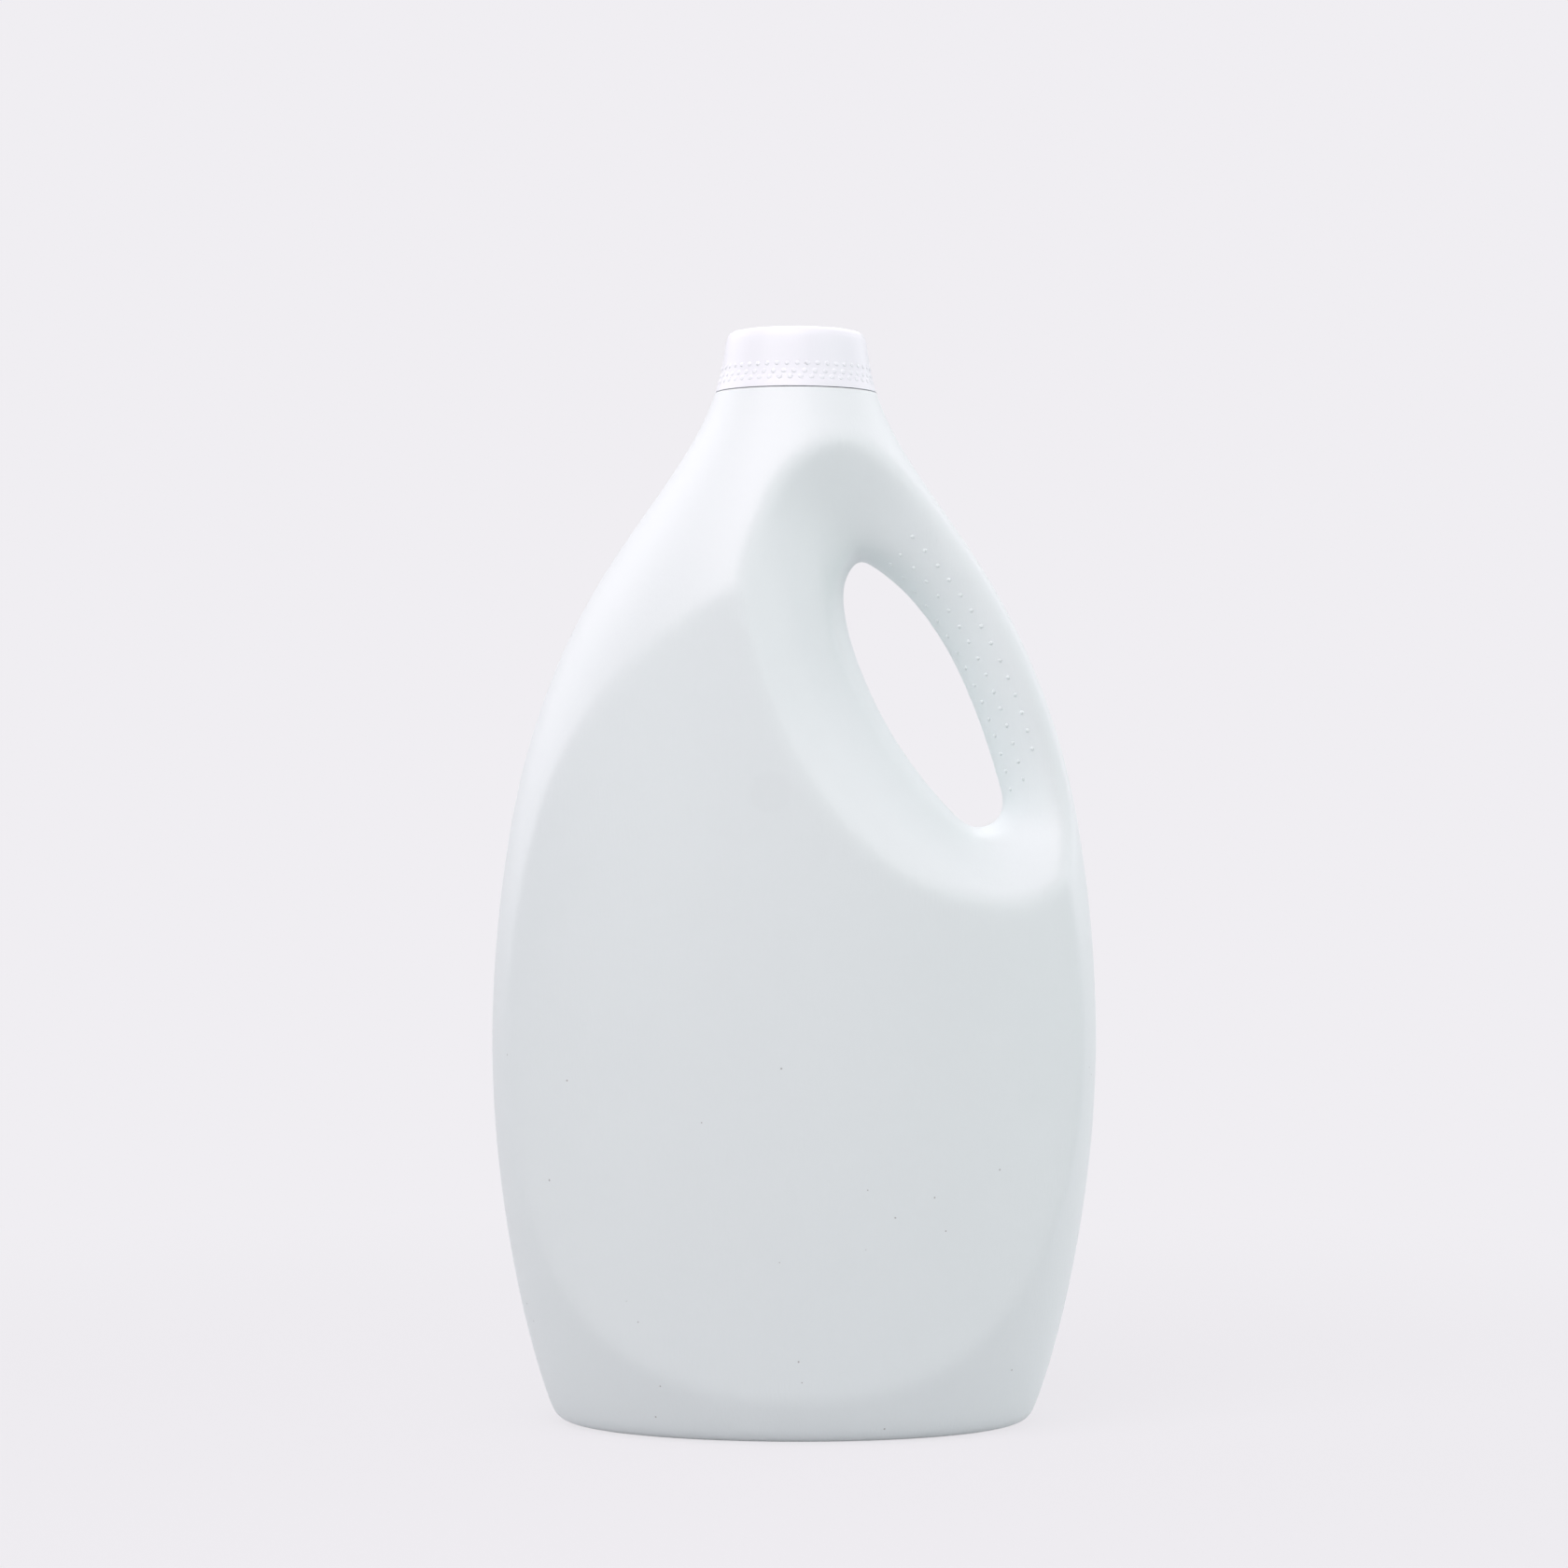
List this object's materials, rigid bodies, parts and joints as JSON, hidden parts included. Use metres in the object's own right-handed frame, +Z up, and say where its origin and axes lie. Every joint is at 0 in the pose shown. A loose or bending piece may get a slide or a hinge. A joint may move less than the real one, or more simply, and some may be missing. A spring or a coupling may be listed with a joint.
{
  "type": "laundry detergent bottle",
  "caption": "Tall blow-moulded plastic jug with flat label panels, a dished through handle near one shoulder, and a small flared screw cap over a pouring insert.",
  "frame": {"origin": "middle of the base, on the plane that the bottle stands on", "axes": "+Z up, +X towards the handle side, the front label panel faces -Y"},
  "size_m": [0.1718, 0.098, 0.31],
  "materials": {
    "bottle_plastic": "satin white blow-moulded polyethylene",
    "spout_plastic": "smooth natural white moulding",
    "cap_plastic": "satin white moulding with rows of small raised dots",
    "liner_foam": "soft closed-cell seal foam"
  },
  "bodies": {
    "bottle": {"bottle_body": "bottle_plastic", "pour_spout": "spout_plastic"},
    "liner": {"cap_liner": "liner_foam"},
    "cap": {"screw_cap": "cap_plastic"}
  },
  "joints": [
    {"name": "cap_lift", "type": "slide", "parent": "bottle", "child": "liner", "axis": [0, 0, 1], "range_m": [0, 0.0169]},
    {"name": "cap_turn", "type": "hinge", "parent": "liner", "child": "cap", "pos_m": [0, 0, 0.3], "axis": [0, 0, 1], "range_deg": [0, 1440]}
  ],
  "couplings": [
    {"joint": "cap_lift", "follows": "cap_turn", "m_per_rad": 0.00066845}
  ]
}
